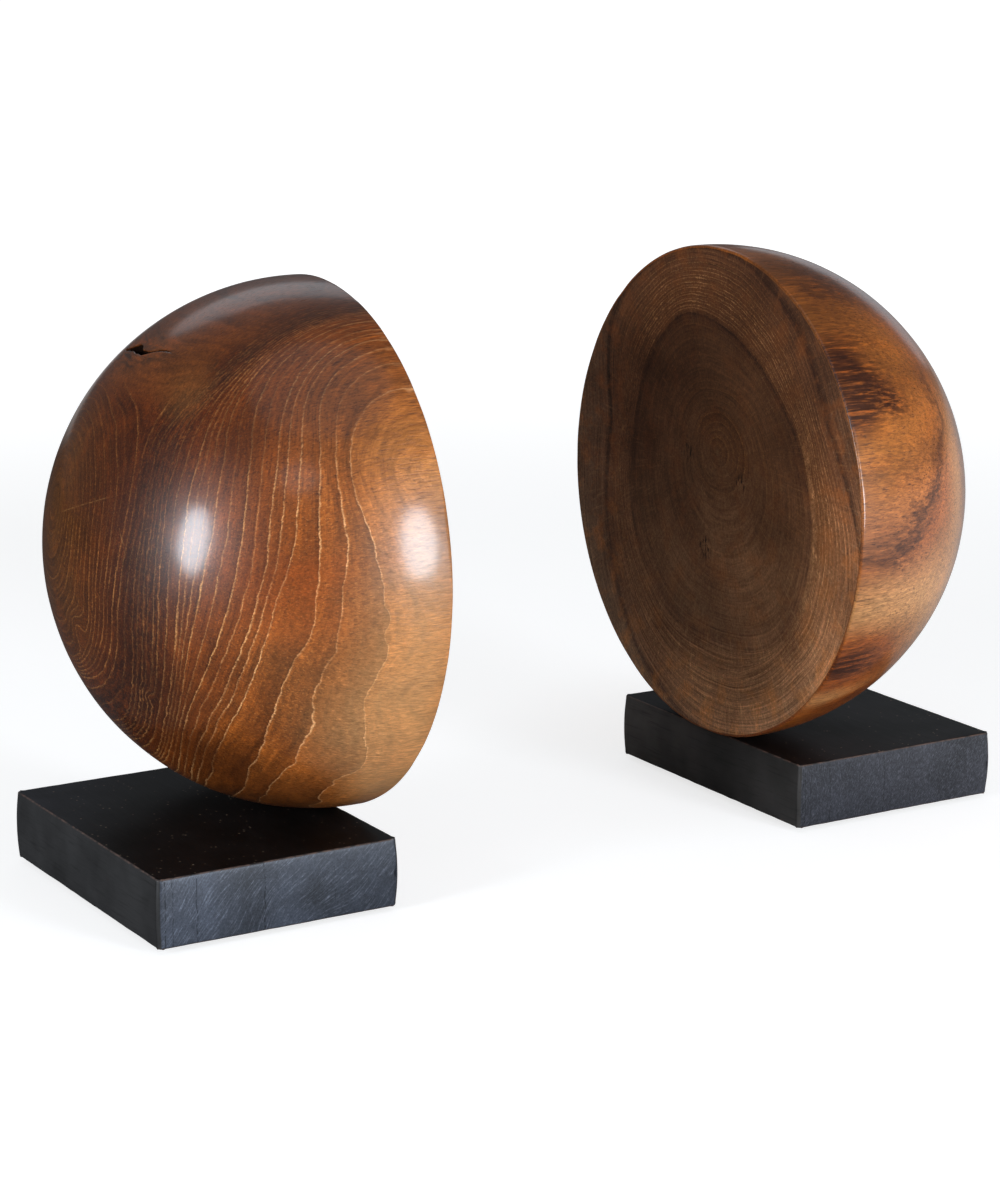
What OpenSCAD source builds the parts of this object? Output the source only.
// Pair of free-standing book ends.
// Each one is a turned teak dome, half of a sphere, standing on edge on a black
// stained wooden block. The flat end-grain face of the dome holds the books.
// Two countersunk wood screws come up through the block into the dome, and four
// felt pads keep the block off the shelf.
//
// Frame: +Z up, X runs along the row of books, the origin is on the shelf,
// midway between the two flat faces.

/* [Dome] */
// Radius of the turned dome and of its flat face
dome_r = 100; // [70:1:120]
// Straight band between the flat face and the spherical part
dome_band = 3; // [1:0.2:6]
// Radius of the eased edge round the flat face
rim_ease = 0.9; // [0.4:0.1:0.9]
// Depth of the small flat sanded on the dome where it sits on the block
seat_sink = 0.6; // [0.3:0.1:1.5]

/* [Base block] */
// Length of the block along the row of books
base_l = 98; // [80:1:120]
// Width of the block across the row of books
base_w = 127; // [90:1:150]
// Thickness of the block
base_h = 26.2; // [20:0.2:32]
// How far the flat face of the dome stands proud of the block
face_overhang = 1.2; // [0.8:0.1:3]
// Outward crown of the four sanded sides at mid height
side_crown = 0.7; // [0.3:0.1:1.2]
// Radius of the four upright corners
corner_r = 2.2; // [1:0.1:5]
// Radius of the eased top and bottom edges
edge_r = 0.8; // [0.5:0.1:1.5]

/* [Wood screws] */
// Shank and thread-crest diameter
screw_d = 4.8; // [3.5:0.1:6]
// Thread core diameter
screw_core_d = 3.4; // [2.5:0.1:3.4]
// Overall length
screw_l = 50; // [40:1:60]
// Head diameter
screw_head_d = 9.5; // [8:0.1:11]
// Distance between the two screws, across the row of books
screw_pitch = 16; // [12:1:24]
// Distance from the flat face to the screws
screw_inset = 9; // [9:1:16]
// Thread pitch
thread_pitch = 2.1; // [1.6:0.1:2.6]

/* [Felt pads] */
// Diameter of a pad
pad_d = 18; // [12:1:24]
// Thickness of a pad
pad_t = 2; // [1:0.5:4]
// Distance from the edges of the block to the pad centres
pad_inset = 17; // [14:1:24]

/* [Pair] */
// Gap between the two flat faces, filled by the books
book_gap = 180; // [20:1:600]

/* [Hidden] */

// Facets
$fn = 96;
dome_fn = 180;
crown_fn = 360;
small_fn = 48;                          // screws, holes, pads and eased edges

// Colours
teak = [0.44, 0.22, 0.10];
black_stain = [0.06, 0.06, 0.065];
screw_metal = [0.72, 0.68, 0.55];
felt = [0.10, 0.10, 0.10];

// Places
base_z0 = pad_t;                        // underside of the block
base_z1 = pad_t + base_h;               // top of the block
base_cx = face_overhang + base_l / 2;   // centre of the block, from the flat face
dome_z = base_z1 + dome_r - seat_sink;  // height of the dome's axis

// Screw head
head_h = (screw_head_d - screw_d) / 2;  // 90 degree countersunk head
head_sink = 0.5;                        // head stands this far inside the block
head_rim = 0.3;                         // straight rim of the head
recess_l = 4.8;                         // cross recess
recess_w = 1;
recess_depth = 1.9;
screw_turn = 20;                        // turn of each recess, opposite ways

// Screw shank and thread, heights from the face of the head
shank_l = base_h - 4;                   // end of the plain shank
tip_l = 5;                              // tapered tip
tip_end_r = 0.25;                       // radius where the blunt end starts
tip_end_l = 0.3;                        // length of the blunt end
thread_l = screw_l - shank_l - tip_l;
n_threads = floor(thread_l / thread_pitch);

// One turn of thread: [radius, height as a fraction of the pitch]
thread_turn = [
    [screw_core_d / 2, 0.15],
    [screw_d / 2, 0.50],
    [screw_d / 2, 0.62],
    [screw_core_d / 2, 0.97]];

// Room round the screws
head_gap = 0.1;                         // between the head and its countersink
pilot_play = 0.1;                       // on diameter, in the dome
clearance_play = 0.4;                   // on diameter, in the block
pilot_tip_gap = 3;                      // above the tip

// Cutters
overcut = 1;                            // run of a cutter past the surface
seam = 0.001;                           // overlap of two joined cutters
seat_cut = 10;                          // seat cutter's height and run past the face
seat_cut_extra = 30;                    // seat cutter's length beyond dome_r

// Places a part, drawn with the flat face at x = 0 and the dome towards +X,
// as the left (side = -1) or the right (side = 1) book end.
module place(side) {
    translate([side * book_gap / 2, 0, 0])
        rotate([0, 0, side > 0 ? 0 : 180])
            children();
}

// Point at height z on the axis of the screw at -Y (s = -1) or +Y (s = 1).
function screw_place(s, z) = [screw_inset, s * screw_pitch / 2, z];

// Half outline of the dome: radius along x, distance from the flat face along y.
module dome_outline() {
    // spherical part
    intersection() {
        translate([0, dome_band]) circle(r = dome_r, $fn = dome_fn);
        translate([0, dome_band]) square([dome_r + overcut, dome_r + overcut]);
    }
    // straight band
    square([dome_r - rim_ease, dome_band]);
    translate([0, rim_ease]) square([dome_r, dome_band - rim_ease]);
    // eased edge of the flat face
    translate([dome_r - rim_ease, rim_ease])
        intersection() {
            circle(r = rim_ease, $fn = small_fn);
            translate([0, -rim_ease]) square([rim_ease, rim_ease]);
        }
}

module dome(side) {
    color(teak)
    place(side)
    difference() {
        translate([0, 0, dome_z])
            rotate([0, 90, 0])
                rotate_extrude($fn = dome_fn) dome_outline();
        // sanded seat, flush with the top of the block
        translate([-seat_cut, -dome_r, base_z1 - seat_cut])
            cube([dome_r + seat_cut_extra, 2 * dome_r, seat_cut]);
        // pilot holes for the screws
        for (s = [-1, 1])
            translate(screw_place(s, base_z1 - overcut))
                cylinder(d = screw_d + pilot_play,
                         h = overcut + screw_l - base_h + head_sink + pilot_tip_gap,
                         $fn = small_fn);
    }
}

// Rectangle standing on y = 0 and centred on x = 0, with eased corners.
module eased_rect(length, height, radius) {
    translate([-length / 2 + radius, 0]) square([length - 2 * radius, height]);
    translate([-length / 2, radius]) square([length, height - 2 * radius]);
    for (x = [-length / 2 + radius, length / 2 - radius], y = [radius, height - radius])
        translate([x, y]) circle(r = radius, $fn = small_fn);
}

// Upright section of the block with crowned sides.
module crowned_section(length) {
    crown_r = (base_h * base_h / 4 + side_crown * side_crown) / (2 * side_crown);
    intersection() {
        eased_rect(length, base_h, edge_r);
        translate([length / 2 - crown_r, base_h / 2]) circle(r = crown_r, $fn = crown_fn);
        translate([-length / 2 + crown_r, base_h / 2]) circle(r = crown_r, $fn = crown_fn);
    }
}

// Block standing on z = 0, where its two upright sections and its plan meet.
module block() {
    intersection() {
        translate([0, base_w / 2 + overcut, 0]) rotate([90, 0, 0])
            linear_extrude(base_w + 2 * overcut) crowned_section(base_l);
        translate([-base_l / 2 - overcut, 0, 0]) rotate([90, 0, 90])
            linear_extrude(base_l + 2 * overcut) crowned_section(base_w);
        translate([0, -base_w / 2, 0])
            linear_extrude(base_h) eased_rect(base_l, base_w, corner_r);
    }
}

// Cutter for one screw hole through the block, underside at z = 0.
module screw_hole() {
    mouth_d = screw_head_d + 2 * head_gap;
    // clearance hole
    translate([0, 0, -overcut])
        cylinder(d = screw_d + clearance_play, h = base_h + 2 * overcut, $fn = small_fn);
    // sunk mouth and 90 degree countersink
    translate([0, 0, -overcut])
        cylinder(d = mouth_d, h = overcut + head_sink + head_rim, $fn = small_fn);
    translate([0, 0, head_sink + head_rim - seam])
        cylinder(d1 = mouth_d, d2 = screw_d + 2 * head_gap, h = head_h, $fn = small_fn);
}

module base(side) {
    color(black_stain)
    place(side)
    difference() {
        translate([base_cx, 0, base_z0]) block();
        for (s = [-1, 1])
            translate(screw_place(s, base_z0)) screw_hole();
    }
}

// Thread part of the screw outline, from the shank to the tip.
function thread_points() = [
    for (i = [0 : n_threads - 1], point = thread_turn)
        [point[0], shank_l + (i + point[1]) * thread_pitch]];

// Countersunk wood screw, pointing up, with the face of its head at z = 0.
module wood_screw() {
    difference() {
        rotate_extrude($fn = small_fn)
            polygon(concat(
                [[0, 0], [screw_head_d / 2, 0], [screw_head_d / 2, head_rim],
                 [screw_d / 2, head_h + head_rim], [screw_d / 2, shank_l]],
                thread_points(),
                [[screw_core_d / 2, screw_l - tip_l],
                 [tip_end_r, screw_l - tip_end_l], [0, screw_l]]));
        // cross recess
        for (angle = [0, 90]) rotate([0, 0, angle])
            translate([-recess_l / 2, -recess_w / 2, -overcut])
                cube([recess_l, recess_w, overcut + recess_depth]);
    }
}

module screws(side) {
    color(screw_metal)
    place(side)
    for (s = [-1, 1])
        translate(screw_place(s, base_z0 + head_sink))
            rotate([0, 0, screw_turn * s]) wood_screw();
}

module felt_pads(side) {
    color(felt)
    place(side)
    for (x = [face_overhang + pad_inset, face_overhang + base_l - pad_inset],
         y = [-base_w / 2 + pad_inset, base_w / 2 - pad_inset])
        translate([x, y, 0])
            cylinder(d = pad_d, h = pad_t, $fn = small_fn);
}

dome(-1);  // left_dome
base(-1);  // left_base
screws(-1);  // left_screws
felt_pads(-1);  // left_felt_pads
dome(1);  // right_dome
base(1);  // right_base
screws(1);  // right_screws
felt_pads(1);  // right_felt_pads
